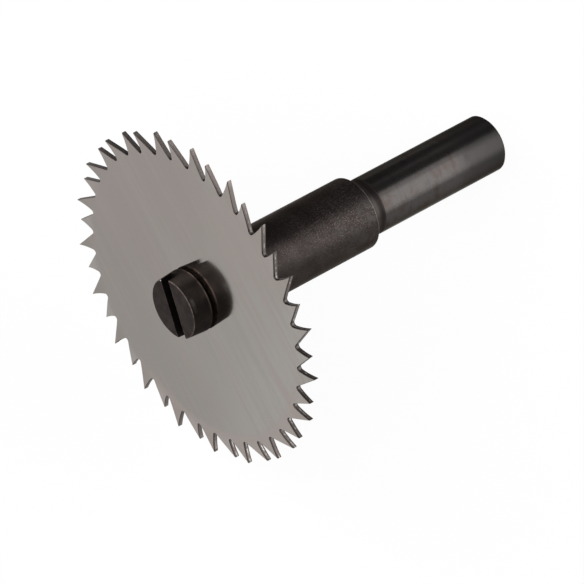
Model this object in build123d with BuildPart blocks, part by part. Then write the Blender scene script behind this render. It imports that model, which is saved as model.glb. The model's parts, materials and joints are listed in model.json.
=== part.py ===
from build123d import *
import os
from math import asin, atan2, cos, degrees, hypot, radians, sin, sqrt, tan

# Slitting saw: a set-tooth blade held on a turned mandrel by one slotted screw.
# Millimetres. The tool lies on the floor, Z = 0, on two teeth and the far edge of its shank.

# Blade
blade_diameter = 46.5
blade_thickness = 0.7
tooth_count = 40
tooth_height = 3.0
tooth_set = 0.32
gullet_radius = 0.35
rake_face_radius = 9.5
bend_inset = 0.35

# Mandrel
body_diameter = 10.15
body_length = 26.95
body_front_chamfer = 0.3
body_edge_radius = 0.15
shank_diameter = 8.0
mandrel_length = 50.75
shank_chamfer = 0.3
relief_depth = 0.1
relief_length = 1.65
relief_ramp = 0.55
relief_root = 0.2
pilot_wall = 0.61
pilot_setback = 0.1
pilot_clearance = 0.025
tapped_mouth_chamfer = 0.3
tapped_end_clearance = 3.0
drill_point_angle = 118.0

# Screw
screw_diameter = 5.0
screw_length = 10.0
screw_end_chamfer = 0.5
screw_clearance = 0.04
head_diameter = 8.8
head_height = 3.3
head_draft = 4.5
head_edge_radius = 0.15
under_head_chamfer = 0.45
slot_width = 1.7
slot_depth = 1.7
slot_turn = -50.0

# Sizes that follow
blade_radius = blade_diameter / 2
body_radius = body_diameter / 2
shank_radius = shank_diameter / 2
screw_radius = screw_diameter / 2
head_radius = head_diameter / 2
tapped_radius = screw_radius + screw_clearance
pilot_radius = tapped_radius + pilot_wall
bore_radius = pilot_radius + pilot_clearance
pitch = 360 / tooth_count
root_radius = blade_radius - tooth_height
bend_radius = root_radius - bend_inset
tool_length = blade_thickness + mandrel_length

# How it lies. Every second tooth leans to the front, and the others lean back. The lowest tooth leans
# to the front, and its neighbour, which leans back, touches the floor with it. The shank's far edge
# is the third point. The turn puts both teeth on the floor, and the tilt puts the shank there.
resting_span = mandrel_length - shank_chamfer + tooth_set
resting_slope = (blade_radius - shank_radius) / resting_span
half_pitch = radians(pitch / 2)
lowest_tooth = asin(tooth_set * resting_slope / (blade_radius * sin(half_pitch))) - half_pitch
tilt = atan2(blade_radius * cos(lowest_tooth) - shank_radius, resting_span)
front_reach = tooth_set * cos(tilt) + blade_radius * cos(lowest_tooth) * sin(tilt)
back_reach = tool_length * cos(tilt) + (shank_radius - shank_chamfer) * sin(tilt)
axis_height = blade_radius * cos(lowest_tooth) * cos(tilt) + (blade_thickness - tooth_set) * sin(tilt)

# The tool's own frame: its origin is the centre of the blade's front face, its Z runs along the axis
# to the shank, and its X points to the floor. The section plane holds a radius in X and the axis in Y.
tool = Plane(
    origin=((front_reach - back_reach) / 2, 0, axis_height),
    x_dir=(-sin(tilt), 0, -cos(tilt)),
    z_dir=(cos(tilt), 0, -sin(tilt)),
)
tool_axis = Axis(tool.origin, tool.z_dir)
section = Plane(origin=tool.origin, x_dir=tool.x_dir, z_dir=-tool.y_dir)


def polar(radius, angle):
    return Vector(radius * cos(radians(angle)), radius * sin(radians(angle)))


def corner(radius, height):
    return vertices().sort_by_distance((radius, height))[0]


# One tooth with its share of the rim, seen along the axis with its tip on the X axis. The rake face is
# an arc that starts at the gullet's circle and hooks to the tip. The back is straight from the tip to
# the next gullet's circle.
tip = polar(blade_radius, 0)
hook = asin((tooth_height - gullet_radius) / (2 * rake_face_radius))
rake_foot = Vector(root_radius + gullet_radius * (1 - sin(hook)), 0)
gullet_centre = rake_foot + Vector(sin(hook), -cos(hook)) * gullet_radius
gullet_angle = degrees(atan2(gullet_centre.Y, gullet_centre.X))
gullet_reach = hypot(gullet_centre.X, gullet_centre.Y)
gullet_bottom = gullet_reach - gullet_radius
to_next_gullet = polar(gullet_reach, gullet_angle + pitch) - tip
back_length = sqrt(to_next_gullet.length**2 - gullet_radius**2)
back_heading = atan2(to_next_gullet.Y, to_next_gullet.X) + asin(gullet_radius / to_next_gullet.length)

with BuildSketch() as tooth:
    with BuildLine():
        back = PolarLine(tip, back_length, degrees(back_heading))
        gullet_start = TangentArc(back @ 1, polar(gullet_bottom, gullet_angle + pitch), tangent=back % 1)
        far_side = Line(gullet_start @ 1, polar(bend_radius, gullet_angle + pitch))
        bend = RadiusArc(far_side @ 1, polar(bend_radius, gullet_angle), bend_radius)
        near_side = Line(bend @ 1, polar(gullet_bottom, gullet_angle))
        gullet_end = RadiusArc(near_side @ 1, rake_foot, gullet_radius)
        RadiusArc(gullet_end @ 1, tip, rake_face_radius)
    make_face()


def leaning_teeth(lean, first_tooth):
    """Every second tooth, from first_tooth in degrees, leaning by the set times lean at its tip."""
    rim = blade_radius + tooth_set
    shift = lean * tooth_set * (rim - bend_radius) / (blade_radius - bend_radius)
    with BuildPart() as teeth:
        with BuildSketch(section):
            Polygon(
                (bend_radius, 0),
                (rim, shift),
                (rim, shift + blade_thickness),
                (bend_radius, blade_thickness),
                align=None,
            )
        revolve(axis=tool_axis)
        with BuildSketch(tool.offset(-2 * tooth_set)):
            with PolarLocations(0, tooth_count // 2, start_angle=first_tooth):
                add(tooth.sketch)
        extrude(amount=blade_thickness + 4 * tooth_set, mode=Mode.INTERSECT)
    return teeth.part


# Blade: a flat disc with a bore, and the teeth bent alternately to its front and its back
front_teeth = leaning_teeth(-1, degrees(lowest_tooth))
back_teeth = leaning_teeth(1, degrees(lowest_tooth) + pitch)
with BuildPart() as saw_blade:
    with BuildSketch(tool):
        Circle(bend_radius)
        Circle(bore_radius, mode=Mode.SUBTRACT)
    extrude(amount=blade_thickness)
    add(front_teeth)
    add(back_teeth)

# Mandrel: one turned piece, with a pilot for the bore, a tapped hole, a body, a relief and the shank
body_front = blade_thickness
shoulder = body_front + body_length
relief_radius = shank_radius - relief_depth
relief_end = shoulder + relief_length
ground_start = relief_end + relief_ramp
tapped_end = screw_length + tapped_end_clearance
drill_point = tapped_radius / tan(radians(drill_point_angle / 2))
with BuildPart() as mandrel:
    with BuildSketch(section):
        with BuildLine():
            Polyline(
                (0, tapped_end + drill_point),
                (tapped_radius, tapped_end),
                (tapped_radius, pilot_setback),
                (pilot_radius, pilot_setback),
                (pilot_radius, body_front),
                (body_radius, body_front),
                (body_radius, shoulder),
                (relief_radius, shoulder),
                (relief_radius, relief_end),
                (shank_radius, ground_start),
                (shank_radius, tool_length),
                (0, tool_length),
                close=True,
            )
        make_face()
        chamfer(corner(tapped_radius, pilot_setback), tapped_mouth_chamfer)
        chamfer(corner(body_radius, body_front), body_front_chamfer)
        fillet(corner(body_radius, shoulder), body_edge_radius)
        chamfer(corner(relief_radius, shoulder), relief_root)
        chamfer(corner(shank_radius, tool_length), shank_chamfer)
    revolve(axis=tool_axis)

# Screw: a drafted cheese head that bears on the blade, a driver slot and a stem in the tapped hole
bearing_radius = head_radius - under_head_chamfer
head_face_radius = head_radius - (head_height - under_head_chamfer) * tan(radians(head_draft))
with BuildPart() as clamp_screw:
    with BuildSketch(section):
        with BuildLine():
            Polyline(
                (0, screw_length),
                (screw_radius, screw_length),
                (screw_radius, 0),
                (bearing_radius, 0),
                (head_radius, -under_head_chamfer),
                (head_face_radius, -head_height),
                (0, -head_height),
                close=True,
            )
        make_face()
        chamfer(corner(screw_radius, screw_length), screw_end_chamfer)
        fillet(corner(head_face_radius, -head_height), head_edge_radius)
    revolve(axis=tool_axis)
    with BuildSketch(tool.offset(-head_height)):
        Rectangle(2 * head_diameter, slot_width, rotation=slot_turn)
    extrude(amount=slot_depth, mode=Mode.SUBTRACT)

saw_blade.part.label = "saw_blade"
mandrel.part.label = "mandrel"
clamp_screw.part.label = "clamp_screw"

os.makedirs("parts", exist_ok=True)
export_step(saw_blade.part, "parts/saw_blade.step")
export_step(mandrel.part, "parts/mandrel.step")
export_step(clamp_screw.part, "parts/clamp_screw.step")
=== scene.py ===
import json
from math import cos, radians, sin

import bpy
import numpy as np
from mathutils import Matrix, Vector


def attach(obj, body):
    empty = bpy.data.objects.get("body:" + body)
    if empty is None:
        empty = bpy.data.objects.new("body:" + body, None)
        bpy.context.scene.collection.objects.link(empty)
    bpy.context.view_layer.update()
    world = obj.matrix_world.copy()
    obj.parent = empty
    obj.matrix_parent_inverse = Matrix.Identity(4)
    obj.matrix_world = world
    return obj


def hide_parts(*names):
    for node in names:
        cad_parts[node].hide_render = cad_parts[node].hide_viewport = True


# Slitting saw lying on a pale floor. Metres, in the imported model's frame.

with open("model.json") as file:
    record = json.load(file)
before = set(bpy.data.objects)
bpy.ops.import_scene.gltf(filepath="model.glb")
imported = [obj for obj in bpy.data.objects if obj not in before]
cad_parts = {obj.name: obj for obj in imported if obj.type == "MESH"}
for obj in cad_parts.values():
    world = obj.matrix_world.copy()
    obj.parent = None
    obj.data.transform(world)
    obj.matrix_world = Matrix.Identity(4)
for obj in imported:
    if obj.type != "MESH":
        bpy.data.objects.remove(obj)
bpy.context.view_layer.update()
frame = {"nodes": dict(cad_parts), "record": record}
print("frame loaded:", sorted(frame["nodes"]))


# The tool's own axes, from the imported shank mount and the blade's mesh

def spanAlong(node, direction):
    # lowest and highest dot product of a node's points with a direction
    mesh = frame["nodes"][node].data
    points = np.empty(len(mesh.vertices) * 3, np.float32)
    mesh.vertices.foreach_get("co", points)
    reach = points.reshape(-1, 3) @ np.array(direction)
    return float(reach.min()), float(reach.max())


shankMount = frame["record"]["mounts"][0]
toolAxis = Vector(shankMount["axis"]).normalized()
shankMiddle = Vector(shankMount["pos_m"])
bladeMiddle = sum(spanAlong("saw_blade", toolAxis)) / 2
toolCentre = shankMiddle + toolAxis * (bladeMiddle - shankMiddle.dot(toolAxis))  # inside the blade
floorSide = Vector((toolAxis.z, 0.0, -toolAxis.x))  # square to the axis, towards the floor
sideways = toolAxis.cross(floorSide)
toolTurn = Matrix((floorSide, sideways, toolAxis)).transposed().to_euler()


# Node helpers

plainWhite = (1.0, 1.0, 1.0, 1.0)


def addNode(tree, kind, inputs=None, **settings):
    # a node with its settings, and each input either linked or given a value
    node = tree.nodes.new(kind)
    for name, value in settings.items():
        setattr(node, name, value)
    for name, value in (inputs or {}).items():
        if isinstance(value, bpy.types.NodeSocket):
            tree.links.new(value, node.inputs[name])
        else:
            node.inputs[name].default_value = value
    return node


def maths(tree, operation, first, second=0.0):
    return addNode(tree, "ShaderNodeMath", {0: first, 1: second}, operation=operation).outputs[0]


def plus(tree, first, second):
    return maths(tree, "ADD", first, second)


def times(tree, first, second):
    return maths(tree, "MULTIPLY", first, second)


def larger(tree, first, second):
    return maths(tree, "MAXIMUM", first, second)


def apart(tree, value, middle):
    return maths(tree, "ABSOLUTE", maths(tree, "SUBTRACT", value, middle))


def ramp(tree, value, start, end, low=0.0, high=1.0):
    # smooth change from low at start to high at end
    inputs = {"Value": value, "From Min": start, "From Max": end, "To Min": low, "To Max": high}
    node = addNode(tree, "ShaderNodeMapRange", inputs, interpolation_type="SMOOTHSTEP", clamp=True)
    return node.outputs["Result"]


def past(tree, value, edge, softness):
    # 0 before the edge and 1 after it
    return ramp(tree, value, edge - softness, edge + softness)


def band(tree, value, middle, halfWidth, softness):
    # 1 within halfWidth of the middle, falling to 0 over softness
    return ramp(tree, apart(tree, value, middle), halfWidth, halfWidth + softness, 1.0, 0.0)


def edgeLine(tree, firstBand, secondBand):
    # a line where two values are both within their bands
    return times(tree, band(tree, *firstBand), band(tree, *secondBand))


def blend(tree, share, first, second):
    inputs = {0: share, 6: first, 7: second}
    node = addNode(tree, "ShaderNodeMix", inputs, data_type="RGBA", clamp_factor=True)
    return node.outputs[2]


def layered(tree, colour, layers, fields, colours):
    # colours laid over the first one. The share of each grows from 0 at its field's start to the
    # given share at the end, and is multiplied by a mask where one is named.
    for field, start, end, share, mask, name in layers:
        amount = ramp(tree, fields[field], start, end, 0.0, share)
        if mask:
            amount = times(tree, amount, fields[mask])
        colour = blend(tree, amount, colour, colours[name])
    return colour


def noise(tree, place, scale, detail, roughness=0.5):
    inputs = {"Vector": place, "Scale": scale, "Detail": detail, "Roughness": roughness}
    return addNode(tree, "ShaderNodeTexNoise", inputs).outputs["Fac"]


def toolPlace(tree):
    # Object coordinates turned to the tool: X to the floor side, Z along the axis
    place = addNode(tree, "ShaderNodeTexCoord").outputs["Object"]
    inputs = {"Vector": place, "Location": toolCentre, "Rotation": toolTurn}
    return addNode(tree, "ShaderNodeMapping", inputs, vector_type="TEXTURE").outputs["Vector"]


def stretched(tree, place, factors):
    inputs = {0: place, 1: factors}
    return addNode(tree, "ShaderNodeVectorMath", inputs, operation="MULTIPLY").outputs[0]


def turned(tree, place, angle):
    # the place turned about the tool's axis, by degrees
    inputs = {"Vector": place, "Rotation": (0.0, 0.0, radians(-angle))}
    return addNode(tree, "ShaderNodeMapping", inputs).outputs[0]


def separate(tree, place):
    return addNode(tree, "ShaderNodeSeparateXYZ", {0: place}).outputs


def radiusOf(tree, axes):
    squares = plus(tree, maths(tree, "POWER", axes[0], 2.0), maths(tree, "POWER", axes[1], 2.0))
    return maths(tree, "SQRT", squares)


def attributeOf(tree, name):
    return addNode(tree, "ShaderNodeAttribute", attribute_name=name).outputs["Fac"]


def newMaterial(name, sockets):
    material = bpy.data.materials.new(name)
    material.use_nodes = True
    tree = material.node_tree
    shader = tree.nodes["Principled BSDF"]
    for socket, value in sockets.items():
        shader.inputs[socket].default_value = value
    return material, tree, shader


def connect(tree, shader, colour, roughness, height, bumpStrength, bumpDistance):
    inputs = {"Height": height, "Strength": bumpStrength, "Distance": bumpDistance}
    normal = addNode(tree, "ShaderNodeBump", inputs).outputs[0]
    for socket, value in (("Base Color", colour), ("Roughness", roughness), ("Normal", normal)):
        tree.links.new(value, shader.inputs[socket])


def setTangent(tree, shader, direction):
    tangent = addNode(tree, "ShaderNodeCombineXYZ", dict(zip("XYZ", direction)))
    tree.links.new(tangent.outputs[0], shader.inputs["Tangent"])


def dress(node, material):
    # the node's mesh takes one material
    piece = frame["nodes"][node]
    piece.data.materials.clear()
    piece.data.materials.append(material)


# Object helpers

def addObject(name, data):
    thing = bpy.data.objects.new(name, data)
    bpy.context.scene.collection.objects.link(thing)
    return thing


def addPanel(name, corners, materialName):
    # one quad with an empty material, and that material's tree
    mesh = bpy.data.meshes.new(name)
    mesh.from_pydata(corners, [], [(0, 1, 2, 3)])
    material = bpy.data.materials.new(materialName)
    material.use_nodes = True
    material.node_tree.nodes.clear()
    mesh.materials.append(material)
    return addObject(name, mesh), material.node_tree


def newPiece(name, points, faces, replaced):
    mesh = bpy.data.meshes.new(name)
    mesh.from_pydata(points.tolist(), [], faces.tolist())
    mesh.shade_smooth()
    piece = addObject(name, mesh)
    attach(piece, "root")
    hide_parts(replaced)
    return piece


# Blade: one closed surface with set teeth, deburred edges and small rounds at the tips. Its steel is
# ground, with grinding lines across it and darker milled tooth walls. Painted shade darkens the face
# towards the floor and painted sheen lightens it on the far side; the walls on the -Y side get
# painted dark edges and a broken painted glint line.

# In the looks of all three pieces, a ramp is its start and end, then the values there. A band is its
# middle, half width and softness. A noise is its scale, detail and roughness.

bladeLook = {
    # the shape, in millimetres and degrees, in the tool's own axes
    "teeth": 40,
    "radius": 23.25,
    "toothHeight": 3.0,
    "gulletRadius": 0.35,
    "rakeRadius": 9.5,
    "tipRadius": 0.03,
    "bore": 3.175,
    "thickness": 0.7,
    "set": 0.32,
    "bendStart": 19.9,
    "bendEase": 1.2,  # how gently each tooth starts to lean
    "frontRound": 0.10,  # deburred edges between the faces and the tooth walls
    "backRound": 0.08,
    "firstTooth": -0.686,  # the lowest tooth, which leans to the front
    "steps": (6, 8, 5, 8, 6),  # points on a tooth's gullet, rake, tip, back and next gullet
    "fan": (0.0, 0.14, 0.35, 0.40, 0.88, 1.0),  # where those start on the bend circle, in teeth
    "edgeAngles": (90.0, 72.0, 54.0, 36.0, 18.0, 0.0),  # rings round an edge, from wall to face
    "flatInset": 0.04,  # from the rounded edge to the first ring on the flat face
    "faceShares": (1.0, 0.8, 0.6, 0.4, 0.2, 0.1, 0.0),  # rings from there to the bend circle
    "innerRings": (19.4, 12.0, 3.275),  # radii of the rings between the bend circle and the bore
    # the steel, in metres in the tool's own axes
    "colours": {
        "warm": (0.278, 0.244, 0.227, 1.0),
        "cool": (0.294, 0.279, 0.254, 1.0),
        "fineLineAndShade": (0.262, 0.243, 0.222, 1.0),
        "scratchAndSheen": (0.345, 0.325, 0.301, 1.0),
        "streak": (0.300, 0.257, 0.240, 1.0),
        "bent": (0.315, 0.272, 0.253, 1.0),
        "wall": (0.135, 0.115, 0.105, 1.0),
        "wallDark": (0.105, 0.090, 0.084, 1.0),
        "wallTip": (0.210, 0.180, 0.168, 1.0),
        "wallEdgeShade": (0.055, 0.046, 0.042, 1.0),
        "wallGlint": (0.62, 0.58, 0.55, 1.0),
    },
    "grindTurn": -70.3,  # degrees of the grinding lines from the floor side
    "spread": 0.85,  # how much more the lines blur a reflection across than along
    "lines": {  # waves a metre along the grinding lines, across them and through, and detail
        "broad": ((22.0, 210.0, 900.0), 2.0),
        "middle": ((45.0, 1100.0, 3000.0), 3.0),
        "fine": ((220.0, 7500.0, 7500.0), 3.0),
        "long": ((38.0, 3600.0, 900.0), 1.0),
        "wide": ((30.0, 420.0, 900.0), 2.0),
    },
    "directions": {  # shares of the floor side and of the sideways direction
        "high": (0.75, 0.6),
        "low": (-0.35, -0.95),
        "foot": (0.8, -1.0),
    },
    "grain": (4200.0, 3.0),
    "broadShare": 0.45,
    "middleShare": 0.25,
    "warmer": (-0.008, 0.016, 0.17, -0.14),  # the tone falls, and so turns warmer, towards +Y
    "lower": (0.005, -0.006, 0.25, 1.0),  # the wide stripes show most towards -Y
    "rim": (-0.004, 0.005, 0.006),  # band of the warmer rim away from the floor
    "lowest": (0.010, 0.019),  # towards the floor and -Y
    "faceLayers": [  # field, its start and end, share at the end, mask, colour
        ("tone", 0.15, 0.55, 1.0, None, "cool"),
        # painted shade: the face darkens towards the floor side
        ("floorward", 0.003, 0.017, 0.95, None, "fineLineAndShade"),
        # painted sheen: the face lightens away from the floor and towards -Y
        ("high", -0.003, -0.022, 0.32, None, "scratchAndSheen"),
        ("sideward", -0.008, -0.018, 0.38, None, "scratchAndSheen"),
        ("middle", 0.52, 0.62, 0.38, None, "streak"),
        ("wide", 0.50, 0.62, 0.65, "lower", "streak"),
        ("wide", 0.46, 0.36, 0.38, "lower", "fineLineAndShade"),
        ("floorward", -0.012, -0.018, 0.6, "rim", "streak"),
        ("fine", 0.40, 0.75, 0.30, None, "fineLineAndShade"),
        ("long", 0.66, 0.78, 0.14, None, "scratchAndSheen"),
        ("long", 0.34, 0.22, 0.30, None, "fineLineAndShade"),
        ("radius", 0.0188, 0.0200, 0.75, "lowest", "bent"),  # the lowest teeth, past the bend circle, turn lighter and warmer
    ],
    "wallLayers": [
        ("radius", 0.0205, 0.0228, 1.0, None, "wall"),
        ("radius", 0.0223, 0.0232, 1.0, None, "wallTip"),
        ("grain", 0.35, 0.70, 0.5, None, "wallDark"),
    ],
    "roundedEdgeShade": (0.6, 0.15, 0.22),  # band of the wall share that gets painted shade all round
    "lowSide": (0.005, 0.016),  # the walls with painted shade on their edges and a painted glint line, on the -Y side
    "farSide": (-0.010, -0.015),
    "edgeMiddle": 0.1,  # of the way from front to back, midway between the painted dark edges
    # painted shade on the edges and at the tips of those walls
    "edges": (0.35, 0.62, 0.0, 0.85),
    "tips": (0.0227, 0.0231, 0.0, 0.85),
    "glintLine": (0.15, 0.08, 0.22),  # band of the painted glint line
    "glintBreaks": (1500.0, 2.0),
    "glintShare": (0.47, 0.66, 0.02, 0.62),
    "onWall": (0.1, 0.5),
    "faceRoughness": (0.2, 0.8, 0.065, 0.115),
    "wallRoughness": 0.42,
    "bump": (0.04, 0.00002),
}


def arcPoints(centre, start, finish, steps):
    # points evenly round a centre from start towards finish, the short way, without finish itself
    first, last = np.angle(start - centre), np.angle(finish - centre)
    sweep = (last - first + np.pi) % (2 * np.pi) - np.pi
    turns = first + np.linspace(0.0, 1.0, steps, endpoint=False) * sweep
    return centre + abs(start - centre) * np.exp(1j * turns)


def toothOutline(inset):
    # one tooth from gullet bottom to gullet bottom, as complex numbers with the tip on the real
    # axis: gullet arc, hooked rake arc, small round at the tip, straight back, gullet arc. Every
    # part of it is drawn inset into the metal, so both arcs grow and the straight back shifts.
    shape = bladeLook
    radius, gullet, rake = shape["radius"], shape["gulletRadius"], shape["rakeRadius"]
    tipRadius = shape["tipRadius"]
    pitch = 2 * np.pi / shape["teeth"]
    root = radius - shape["toothHeight"]
    hook = np.arcsin((shape["toothHeight"] - gullet) / (2 * rake))
    foot = root + gullet * (1 - np.sin(hook))
    gulletCentre = foot + (np.sin(hook) - 1j * np.cos(hook)) * gullet
    nextCentre = gulletCentre * np.exp(1j * pitch)
    half = (radius - foot) / 2
    rakeCentre = foot + half - 1j * np.sqrt(rake**2 - half**2)
    toNext = nextCentre - radius
    backLength = np.sqrt(abs(toNext)**2 - gullet**2)
    along = np.exp(1j * (np.angle(toNext) + np.arcsin(gullet / abs(toNext))))
    side = 1j * along
    # the round at the tip touches the rake circle from outside it and the back from inside
    reach = rake + inset + tipRadius
    gap = radius + side * (inset + tipRadius) - rakeCentre
    dot = (gap * np.conj(along)).real
    spread = np.sqrt(dot**2 - abs(gap)**2 + reach**2)
    tipCentre = rakeCentre + gap + along * min(spread - dot, -spread - dot, key=abs)
    bottom = gulletCentre * (1 - (gullet + inset) / abs(gulletCentre))
    rakeStart = foot + (foot - gulletCentre) / gullet * inset
    rakeEnd = rakeCentre + (tipCentre - rakeCentre) * (rake + inset) / reach
    backStart = tipCentre - side * tipRadius
    backEnd = radius + along * backLength + side * inset
    steps = shape["steps"]
    pieces = [
        arcPoints(gulletCentre, bottom, rakeStart, steps[0]),
        arcPoints(rakeCentre, rakeStart, rakeEnd, steps[1]),
        arcPoints(tipCentre, rakeEnd, backStart, steps[2]),
        backStart + (backEnd - backStart) * np.linspace(0.0, 1.0, steps[3], endpoint=False),
        arcPoints(nextCentre, backEnd, bottom * np.exp(1j * pitch), steps[4]),
    ]
    return np.concatenate(pieces), np.angle(bottom)


def bladeSurface():
    # columns run once round the teeth, rows once round the section: tooth wall, front edge, front
    # face, bore, back face, back edge. A face's point slides from the outline to the bend circle.
    # Each tooth leans forward or back in step with its distance past the bend, and not at the
    # gullets. Also gives each point's share of wall, and its place from front (-1) to back (1).
    shape = bladeLook
    pitch = 2 * np.pi / shape["teeth"]
    bottomAngle = toothOutline(0.0)[1]
    stops = np.cumsum((0, *shape["steps"]))
    fan = np.interp(np.arange(stops[-1]), stops, shape["fan"])
    tooth = np.arange(shape["teeth"])
    turn = np.exp(1j * (np.radians(shape["firstTooth"]) + pitch * tooth))[:, None]
    ray = (turn * np.exp(1j * (bottomAngle + fan * pitch))).ravel()
    side = np.where(tooth % 2 == 0, -1.0, 1.0)[:, None]
    ease = np.clip(np.minimum(fan, 1.0 - fan) / shape["fan"][1], 0.0, 1.0)
    lean = (side * (ease * ease * (3 - 2 * ease))).ravel() * shape["set"]
    half = shape["thickness"] / 2

    def sideRings(roundness):
        # from the wall round the edge and in to the bore: place, height over the middle, wall
        rings = []
        for angle in np.radians(shape["edgeAngles"]):
            place = (turn * toothOutline(roundness * (1 - np.sin(angle)))[0]).ravel()
            rings.append((place, half - roundness * (1 - np.cos(angle)), angle / (np.pi / 2)))
        flatEdge = (turn * toothOutline(roundness + shape["flatInset"])[0]).ravel()
        for share in shape["faceShares"]:
            rings.append((ray * shape["bendStart"] * (1 - share) + flatEdge * share, half, 0.0))
        for radius in (*shape["innerRings"], shape["bore"]):
            rings.append((ray * radius, half, 0.0))
        return rings

    front = [(place, -height, wall) for place, height, wall in sideRings(shape["frontRound"])]
    rings = front + sideRings(shape["backRound"])[::-1]
    place = np.array([ring[0] for ring in rings])
    height, wall = (np.array([ring[part] for ring in rings])[:, None] * np.ones(place.shape)
                    for part in (1, 2))
    bendReach = shape["radius"] - shape["bendStart"]
    beyond = np.clip((abs(place) - shape["bendStart"]) / bendReach, 0.0, None)
    soft = shape["bendEase"] / bendReach
    bend = np.where(beyond < soft, beyond**2 / (2 * soft), beyond - soft / 2) / (1 - soft / 2)
    return place, height + lean * bend, wall, height / half


def gridFaces(rows, columns):
    # quads of a grid that closes on itself both ways
    row = np.arange(rows)[:, None]
    column = np.arange(columns)[None, :]
    nextRow, nextColumn = (row + 1) % rows, (column + 1) % columns
    corners = (row * columns + column, nextRow * columns + column,
               nextRow * columns + nextColumn, row * columns + nextColumn)
    return np.stack([corner.ravel() for corner in corners], axis=1)


def fromTool(across, sideward, along):
    # millimetres in the tool's own axes to metres in the frame
    points = np.stack([across, sideward, along], axis=-1).reshape(-1, 3) / 1000
    return points @ np.array([floorSide, sideways, toolAxis]) + np.array(toolCentre)


def makeBlade():
    place, height, wall, across = bladeSurface()
    points = fromTool(place.real, place.imag, height)
    blade = newPiece("set_tooth_blade", points, gridFaces(*place.shape), "saw_blade")
    for name, values in (("wall", wall), ("across", across)):
        attribute = blade.data.attributes.new(name, "FLOAT", "POINT")
        attribute.data.foreach_set("value", values.ravel().astype(np.float32))
    blade.data.materials.append(bladeSteel())


def bladeSteel():
    look = bladeLook
    colours, turn = look["colours"], look["grindTurn"]
    material, tree, shader = newMaterial("ground_blade_steel", {
        "Metallic": 1.0, "Anisotropic": look["spread"]})
    place = toolPlace(tree)
    axes = separate(tree, place)
    radius = radiusOf(tree, axes)
    grain = noise(tree, place, *look["grain"])
    fields = {"floorward": axes[0], "sideward": axes[1], "radius": radius, "grain": grain}
    for name, (waves, detail) in look["lines"].items():
        fields[name] = noise(tree, stretched(tree, turned(tree, place, turn), waves), 1.0, detail)
    for name, shares in look["directions"].items():
        fields[name] = plus(tree, times(tree, axes[0], shares[0]), times(tree, axes[1], shares[1]))
    lineTone = plus(tree, times(tree, fields["broad"], look["broadShare"]),
                    times(tree, fields["middle"], look["middleShare"]))
    fields["tone"] = plus(tree, lineTone, ramp(tree, axes[1], *look["warmer"]))
    fields["lower"] = ramp(tree, axes[1], *look["lower"])
    fields["rim"] = band(tree, axes[1], *look["rim"])
    fields["lowest"] = ramp(tree, fields["foot"], *look["lowest"])
    face = layered(tree, colours["warm"], look["faceLayers"], fields, colours)

    # the walls on the -Y side get painted shade on their edges and a broken painted glint line
    wallShare, across = attributeOf(tree, "wall"), attributeOf(tree, "across")
    wall = layered(tree, colours["wallDark"], look["wallLayers"], fields, colours)
    wall = blend(tree, band(tree, wallShare, *look["roundedEdgeShade"]), wall, colours["wallEdgeShade"])
    lowSide = larger(tree, ramp(tree, fields["low"], *look["lowSide"]),
                     ramp(tree, axes[1], *look["farSide"]))
    edges = larger(tree, ramp(tree, apart(tree, across, look["edgeMiddle"]), *look["edges"]),
                   ramp(tree, radius, *look["tips"]))
    wall = blend(tree, times(tree, edges, lowSide), wall, colours["wallEdgeShade"])
    broken = ramp(tree, noise(tree, place, *look["glintBreaks"]), *look["glintShare"])
    glintLine = times(tree, band(tree, across, *look["glintLine"]), broken)
    wall = blend(tree, times(tree, glintLine, lowSide), wall, colours["wallGlint"])

    onWall = ramp(tree, wallShare, *look["onWall"])
    roughness = larger(tree, ramp(tree, fields["fine"], *look["faceRoughness"]),
                       ramp(tree, onWall, 0.0, 1.0, 0.0, look["wallRoughness"]))
    height = plus(tree, fields["fine"], times(tree, grain, wallShare))
    connect(tree, shader, blend(tree, onWall, face, wall), roughness, height, *look["bump"])
    setTangent(tree, shader, floorSide * -sin(radians(turn)) + sideways * cos(radians(turn)))
    return material


# Mandrel: blackened steel, grainy on the body, dull in the relief and ground smooth on the shank,
# with a painted highlight on the shoulder's rim and a painted shade stripe before the ground part

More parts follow.
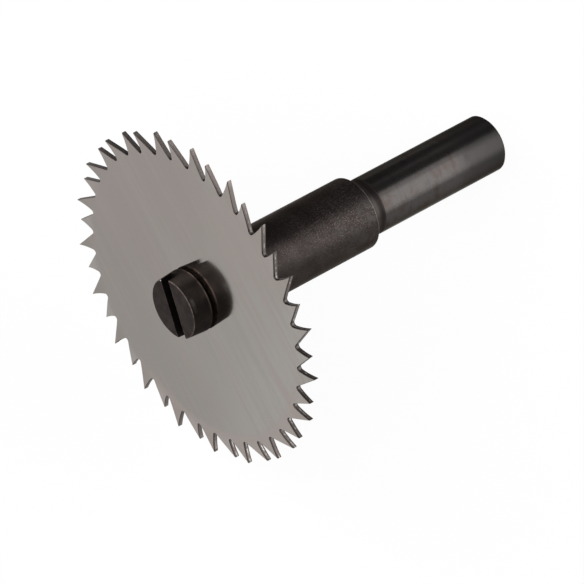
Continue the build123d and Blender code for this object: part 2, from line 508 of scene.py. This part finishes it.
mandrelLook = {
    # the size, in metres along the axis from the middle of the blade, and a radius
    "bodyRadius": 0.005075,
    "shoulder": 0.0273,
    "groundStart": 0.0295,
    "shankEnd": 0.0511,
    "shankEdge": 0.0003,
    # the steel
    "colours": {
        "body": (0.033, 0.0273, 0.0257, 1.0),
        "bodyCloud": (0.043, 0.036, 0.034, 1.0),
        "bodySpeck": (0.108, 0.085, 0.078, 1.0),
        "bodyGrey": (0.056, 0.053, 0.050, 1.0),
        "relief": (0.058, 0.050, 0.047, 1.0),
        # dark: the body's pits, the painted shade stripe before the ground part, and the line before
        # the chamfer
        "stripe": (0.022, 0.018, 0.017, 1.0),
        "ground": (0.068, 0.063, 0.061, 1.0),
        "groundBrown": (0.058, 0.046, 0.041, 1.0),
        "groundDark": (0.034, 0.031, 0.031, 1.0),
        # the painted highlight on the shoulder's rim
        "worn": (0.28, 0.255, 0.24, 1.0),
        "bodyOutline": (0.52, 0.50, 0.48, 1.0),  # how bright the steel turns seen edge on
        "groundOutline": (0.45, 0.44, 0.42, 1.0),
    },
    "spread": 0.4,
    "noises": {
        "grain": (6600.0, 2.0, 0.5),
        "cloud": (420.0, 4.0, 0.6),
        "pits": (4600.0, 2.0, 0.5),
        "patches": (650.0, 4.0, 0.6),
    },
    "stretchedNoises": {  # waves a metre across and along the axis, detail and roughness
        "rings": ((60.0, 60.0, 4500.0), 3.0, 0.5),
        "stains": ((300.0, 300.0, 500.0), 4.0, 0.6),
    },
    "shoulderSoftness": 0.00002,
    "groundSoftness": 0.0001,
    "coarseAlong": (0.012, 0.025, 0.62, 1.5),  # grainier near the shoulder
    "coarseSide": (-0.0048, -0.0012, 0.40, 1.0),
    "specked": (0.3, 0.65, 0.5, 1.0),
    "greyPatchAlong": (0.0175, 0.0262),  # greyer patches near the shoulder
    "greyPatchSide": (0.001, -0.003, 0.2, 0.75),
    "bodyLayers": [  # field, its start and end, share at the end, mask, colour
        ("cloud", 0.35, 0.65, 1.0, None, "bodyCloud"),
        ("grain", 0.51, 0.66, 1.0, "specked", "bodySpeck"),
        ("pits", 0.46, 0.34, 0.75, "coarse", "stripe"),
        ("patches", 0.46, 0.60, 1.0, "greyPatchAndSheen", "bodyGrey"),
    ],
    "groundLayers": [
        ("stains", 0.50, 0.70, 1.0, None, "groundBrown"),
        ("stains", 0.45, 0.25, 0.6, None, "groundDark"),
        ("rings", 0.48, 0.80, 0.18, None, "groundDark"),
    ],
    "palest": (0.0375, 0.004, 0.012),  # band half way along, where the ground part is palest
    "groundDarkening": 0.45,  # how much darker it turns away from there
    "endDarkening": (0.041, 0.046, 0.0, 0.48),
    "stripeBefore": 0.0005,  # painted shade: a dark stripe before the ground part starts
    "stripeWidth": (0.0002, 0.0004),
    "stripeShare": 0.8,
    "rimInset": 0.00005,  # painted highlight: a bright line on the shoulder's rim
    "rimWidth": (0.00006, 0.00006),
    "rimPatches": (900.0, 3.0),
    "rimPatchShare": (0.35, 0.65, 0.3, 1.0),
    "rimMiddle": -0.0015,  # where round the rim the line is brightest
    "rimFade": (0.0012, 0.0042, 1.0, 0.15),
    "endLine": 0.00005,  # dark line before the shank's chamfer
    "endShare": 0.75,
    "bodyRoughness": 0.43,
    "groundRoughness": 0.25,
    "ringRoughness": (0.4, 0.8, 0.0, 0.035),
    "endRoughness": (0.041, 0.046, 0.0, 0.07),
    "ringBump": 0.04,
    "bump": (0.35, 0.00004),
}


def mandrelSteel():
    look = mandrelLook
    colours = look["colours"]
    material, tree, shader = newMaterial("blackened_mandrel_steel", {
        "Metallic": 1.0, "Anisotropic": look["spread"]})
    place = toolPlace(tree)
    axes = separate(tree, place)
    sideward, along = axes[1], axes[2]
    shank = past(tree, along, look["shoulder"], look["shoulderSoftness"])
    ground = past(tree, along, look["groundStart"], look["groundSoftness"])
    fields = {name: noise(tree, place, *values) for name, values in look["noises"].items()}
    for name, (waves, *values) in look["stretchedNoises"].items():
        fields[name] = noise(tree, stretched(tree, place, waves), 1.0, *values)
    coarse = times(tree, ramp(tree, along, *look["coarseAlong"]),
                   ramp(tree, sideward, *look["coarseSide"]))
    fields["coarse"] = coarse
    fields["specked"] = times(tree, ramp(tree, fields["cloud"], *look["specked"]), coarse)
    fields["greyPatchAndSheen"] = times(tree, ramp(tree, along, *look["greyPatchAlong"]),
                             ramp(tree, sideward, *look["greyPatchSide"]))
    body = layered(tree, colours["body"], look["bodyLayers"], fields, colours)
    smooth = layered(tree, colours["ground"], look["groundLayers"], fields, colours)
    paler = times(tree, band(tree, along, *look["palest"]), look["groundDarkening"])
    darkenedShare = plus(tree, maths(tree, "SUBTRACT", look["groundDarkening"], paler),
                  ramp(tree, along, *look["endDarkening"]))
    smooth = blend(tree, darkenedShare, smooth, colours["groundDark"])
    colour = blend(tree, ground, blend(tree, shank, body, colours["relief"]), smooth)

    # painted shade: a dark stripe just before the ground part
    stripe = band(tree, along, look["groundStart"] - look["stripeBefore"], *look["stripeWidth"])
    colour = blend(tree, times(tree, stripe, look["stripeShare"]), colour, colours["stripe"])
    # painted highlight: a patchy bright line on the shoulder's rim, fading round from rimMiddle
    rimPlace, rimRadius = (look[name] - look["rimInset"] for name in ("shoulder", "bodyRadius"))
    rim = edgeLine(tree, (along, rimPlace, *look["rimWidth"]),
                   (radiusOf(tree, axes), rimRadius, *look["rimWidth"]))
    rimPatches = ramp(tree, noise(tree, place, *look["rimPatches"]), *look["rimPatchShare"])
    rimFade = ramp(tree, apart(tree, sideward, look["rimMiddle"]), *look["rimFade"])
    rim = times(tree, rim, times(tree, rimPatches, rimFade))
    colour = blend(tree, rim, colour, colours["worn"])
    chamfer = look["shankEnd"] - look["shankEdge"]
    lastEdge = ramp(tree, along, chamfer - look["endLine"], chamfer)
    colour = blend(tree, times(tree, lastEdge, look["endShare"]), colour, colours["stripe"])

    outline = blend(tree, ground, colours["bodyOutline"], colours["groundOutline"])
    tree.links.new(outline, shader.inputs["Specular Tint"])
    rough = ramp(tree, ground, 0.0, 1.0, look["bodyRoughness"], look["groundRoughness"])
    rough = plus(tree, rough, ramp(tree, fields["rings"], *look["ringRoughness"]))
    rough = plus(tree, rough, ramp(tree, along, *look["endRoughness"]))
    bodyOnly = maths(tree, "SUBTRACT", 1.0, shank)
    bodyBump = times(tree, times(tree, fields["grain"], coarse), bodyOnly)
    shankBump = times(tree, times(tree, fields["rings"], ground), look["ringBump"])
    connect(tree, shader, colour, rough, plus(tree, bodyBump, shankBump), *look["bump"])
    setTangent(tree, shader, toolAxis)
    return material


# Screw: blackened and matte, with thin worn lines on its rims and slot edges, a painted sheen beside
# the front rim and a painted glint at the slot's corner

screwLook = {
    # the size, in metres along the axis from the middle of the blade, and radii
    "headFront": -0.00365,
    "headFrontRadius": 0.00414,
    "headRearRim": -0.0008,
    "headRearRadius": 0.0044,
    "slotWidth": 0.0017,
    "slotTurn": -50.0,  # degrees from the floor side
    # the steel
    "colours": {
        "black": (0.0355, 0.0295, 0.0278, 1.0),
        "lighter": (0.050, 0.042, 0.039, 1.0),
        # the wear on the rims and slot edges
        "worn": (0.20, 0.150, 0.132, 1.0),
        # the painted sheen beside the front rim
        "greyPatchAndSheen": (0.150, 0.140, 0.130, 1.0),
        # the painted glint
        "bright": (0.85, 0.82, 0.80, 1.0),
        "outline": (0.5, 0.5, 0.5, 1.0),
    },
    "cloud": (900.0, 3.0),
    "cloudShare": (0.3, 0.7),
    "grain": (7000.0, 2.0),
    "lineWidth": 0.00003,
    "frontRim": (0.00005, 0.00012),  # softness of the line in radius and along the axis
    "frontRimShare": 0.8,
    "rearRim": (0.00012, 0.00022),
    "rearRimShare": (-0.0020, -0.0038, 0.35, 1.7),
    "slotEdge": (0.00005, 0.00006),  # softness across the slot and along the axis
    "wearPatches": (1300.0, 3.0),
    "wearShare": (0.38, 0.62, 0.12, 0.75),
    "spots": [  # angle from the floor side, radius, along the axis, size, colour and its share
        # painted sheen: a soft grey streak just behind the front rim
        (200.0, 0.00422, -0.00309, 0.00028, "greyPatchAndSheen", 0.40),
        (204.0, 0.00422, -0.00310, 0.00028, "greyPatchAndSheen", 0.45),
        (208.0, 0.00422, -0.00311, 0.00028, "greyPatchAndSheen", 0.45),
        (212.0, 0.00422, -0.00312, 0.00028, "greyPatchAndSheen", 0.40),
        (217.0, 0.00422, -0.00313, 0.00026, "greyPatchAndSheen", 0.35),
        (222.0, 0.00422, -0.00314, 0.00024, "greyPatchAndSheen", 0.30),
        # a nick at the slot's corner, its colour raised to a painted glint
        (117.2, 0.00408, -0.00364, 0.00012, "bright", 1.0),
    ],
    "spotFade": (0.3, 1.5),  # in sizes from its centre
    "roughness": (0.2, 0.8, 0.36, 0.49),
    "bump": (0.12, 0.00003),
}


def screwSteel():
    look = screwLook
    colours, width = look["colours"], look["lineWidth"]
    material, tree, shader = newMaterial("blackened_screw_steel", {
        "Metallic": 1.0, "Specular Tint": colours["outline"]})
    place = toolPlace(tree)
    axes = separate(tree, place)
    along, radius = axes[2], radiusOf(tree, axes)
    cloud = ramp(tree, noise(tree, place, *look["cloud"]), *look["cloudShare"])
    grain = noise(tree, place, *look["grain"])
    black = blend(tree, cloud, colours["black"], colours["lighter"])

    def rimLine(rimRadius, rimPlace, softness):
        return edgeLine(tree, (radius, rimRadius, width, softness[0]),
                        (along, rimPlace, width, softness[1]))

    frontRim = rimLine(look["headFrontRadius"], look["headFront"], look["frontRim"])
    rearRim = rimLine(look["headRearRadius"], look["headRearRim"], look["rearRim"])
    slotAxes = separate(tree, turned(tree, place, look["slotTurn"]))
    slotEdge = edgeLine(tree, (maths(tree, "ABSOLUTE", slotAxes[1]), look["slotWidth"] / 2,
                               width / 2, look["slotEdge"][0]),
                        (along, look["headFront"], width, look["slotEdge"][1]))
    wear = larger(tree, times(tree, frontRim, look["frontRimShare"]),
                  times(tree, rearRim, ramp(tree, axes[0], *look["rearRimShare"])))
    wear = larger(tree, wear, slotEdge)
    patchy = ramp(tree, noise(tree, place, *look["wearPatches"]), *look["wearShare"])
    colour = blend(tree, times(tree, wear, patchy), black, colours["worn"])
    start, end = look["spotFade"]
    # the spots paint a sheen beside the front rim and a glint at the slot's corner
    for angle, spotRadius, spotPlace, size, spotColour, share in look["spots"]:
        centre = (spotRadius * cos(radians(angle)), spotRadius * sin(radians(angle)), spotPlace)
        away = addNode(tree, "ShaderNodeVectorMath", {0: place, 1: centre}, operation="DISTANCE")
        amount = ramp(tree, away.outputs["Value"], size * start, size * end, share, 0.0)
        colour = blend(tree, amount, colour, colours[spotColour])
    connect(tree, shader, colour, ramp(tree, grain, *look["roughness"]), grain, *look["bump"])
    return material


makeBlade()
print("blade made")
dress("mandrel", mandrelSteel())
dress("clamp_screw", screwSteel())
print("materials made")


# Floor: white to the camera and in reflections, with part of its own shading left for the shadow

floorLook = {
    "halfSize": 2.0,
    "colour": (0.95, 0.95, 0.95, 1.0),
    "whiteShare": 0.945,  # of the camera's view
    "mirrorShare": 0.6,  # of the view in the metal
}


def whiteShare(tree, path, cameraShare, mirrorShare):
    # the share of plain white that a ray sees: one for the camera and one for reflections
    mirrored = larger(tree, path["Is Glossy Ray"], path["Is Transmission Ray"])
    return larger(tree, times(tree, path["Is Camera Ray"], cameraShare),
                  times(tree, mirrored, mirrorShare))


def makeFloor():
    look = floorLook
    reach = look["halfSize"]
    corners = [(x * reach, y * reach, 0.0) for x, y in ((-1, -1), (1, -1), (1, 1), (-1, 1))]
    floor, tree = addPanel("floor", corners, "pale_floor")
    path = addNode(tree, "ShaderNodeLightPath").outputs
    seen = whiteShare(tree, path, look["whiteShare"], look["mirrorShare"])
    lit = addNode(tree, "ShaderNodeBsdfDiffuse", {"Color": look["colour"]}).outputs[0]
    white = addNode(tree, "ShaderNodeEmission", {"Color": plainWhite, "Strength": 1.0}).outputs[0]
    surface = addNode(tree, "ShaderNodeMixShader", {0: seen, 1: lit, 2: white}).outputs[0]
    addNode(tree, "ShaderNodeOutputMaterial", {"Surface": surface})


makeFloor()


# Light: a dim studio all round and soft boxes

studioLook = {
    "worldColour": (0.98, 0.99, 1.0, 1.0),
    "worldStrength": 0.17,
    "wallColour": (0.93, 0.96, 1.0, 1.0),  # the white wall before the blade, as the metal sees it
    "wall": (-0.05, -0.45, 0.0, 0.85),  # ramp over the X of a ray's direction
    "boxTarget": (0.0, 0.0, 0.02),
    "boxes": [  # name, direction from the target, its long side, distance, width, height, radiance
        ("key_box", (0.713, -0.542, 0.446), (-0.17, -0.85, -0.45), 0.60, 0.46, 0.40, 3.0),
        ("key_wing", (0.775, -0.080, 0.590), (-0.17, -0.85, -0.45), 0.60, 0.16, 0.40, 1.7),
        ("key_foot", (0.577, -0.812, 0.078), (-0.17, -0.85, -0.45), 0.60, 0.13, 0.30, 2.2),
        ("top_box", (-0.45, -0.10, 0.89), (1.0, 0.0, 0.5), 0.90, 0.90, 0.90, 2.1),
        ("back_box", (-0.34, 0.74, 0.58), (1.0, 0.45, 0.0), 0.80, 0.50, 0.50, 3.8),
    ],
    "cards": [  # name, low corner, high corner, tone
        ("far_card", (0.0, 0.06, 0.0), (0.068, 0.06, 0.06), 0.11),
        ("far_card_middle", (0.068, 0.06, 0.0), (0.082, 0.06, 0.06), 0.16),
        ("far_card_end", (0.082, 0.06, 0.0), (0.25, 0.06, 0.06), 0.42),
        ("near_card", (0.006, 0.003, 0.0002), (0.05, 0.022, 0.0002), 0.42),
        ("near_card_outer", (0.006, 0.022, 0.0002), (0.05, 0.06, 0.0002), 0.60),
    ],
}


def makeWorld():
    look = studioLook
    world = bpy.data.worlds.new("studio")
    bpy.context.scene.world = world
    world.use_nodes = True
    tree = world.node_tree
    tree.nodes.clear()
    path = addNode(tree, "ShaderNodeLightPath").outputs
    direction = separate(tree, addNode(tree, "ShaderNodeTexCoord").outputs["Generated"])
    seen = whiteShare(tree, path, 1.0, ramp(tree, direction[0], *look["wall"]))
    dim = addNode(tree, "ShaderNodeBackground",
                  {"Color": look["worldColour"], "Strength": look["worldStrength"]}).outputs[0]
    colour = blend(tree, path["Is Camera Ray"], look["wallColour"], plainWhite)
    white = addNode(tree, "ShaderNodeBackground", {"Color": colour, "Strength": 1.0}).outputs[0]
    surface = addNode(tree, "ShaderNodeMixShader", {0: seen, 1: dim, 2: white}).outputs[0]
    addNode(tree, "ShaderNodeOutputWorld", {"Surface": surface})


def makeBoxes():
    # an area lamp's radiance is its power over pi times its area
    target = Vector(studioLook["boxTarget"])
    for name, direction, longSide, distance, width, height, radiance in studioLook["boxes"]:
        lamp = bpy.data.lights.new(name, "AREA")
        lamp.shape = "RECTANGLE"
        lamp.size = width
        lamp.size_y = height
        lamp.energy = radiance * np.pi * width * height
        box = addObject(name, lamp)
        away = Vector(direction).normalized()
        across = Vector(longSide)
        across = (across - away * across.dot(away)).normalized()
        box.location = target + away * distance
        box.rotation_euler = Matrix((across, away.cross(across), away)).transposed().to_euler()


def makeCards():
    # dim cards, seen only in reflections: three stand in a row beside the mandrel and darken its
    # far side, and two lie beside the shank, where the real floor is in its shadow
    for name, low, high, tone in studioLook["cards"]:
        corners = [low, (high[0], low[1], low[2]), high, (low[0], high[1], high[2])]
        card, tree = addPanel(name, corners, name)
        inputs = {"Color": plainWhite, "Strength": tone}
        dim = addNode(tree, "ShaderNodeEmission", inputs).outputs[0]
        addNode(tree, "ShaderNodeOutputMaterial", {"Surface": dim})
        card.visible_camera = False
        card.visible_diffuse = False
        card.visible_shadow = False


makeWorld()
makeBoxes()
makeCards()
print("floor and light made")


# Camera: the photograph's own place, turned a little about its line of sight

cameraLook = {
    "place": (-0.126215, -0.160454, 0.580109),
    "aim": (-0.009667, -0.006770, 0.021997),
    "roll": 0.95,  # degrees
    "sensor": 36.0,
    "lens": 284.17,
}


def makeCamera():
    look = cameraLook
    lens = bpy.data.cameras.new("camera")
    lens.sensor_width = look["sensor"]
    lens.lens = look["lens"]
    camera = addObject("camera", lens)
    place = Vector(look["place"])
    level = (Vector(look["aim"]) - place).to_track_quat("-Z", "Y").to_matrix()
    camera.location = place
    camera.rotation_euler = (level @ Matrix.Rotation(radians(look["roll"]), 3, "Z")).to_euler()
    bpy.context.scene.camera = camera


makeCamera()
print("camera placed")
bpy.context.scene.view_settings.view_transform = "Standard"
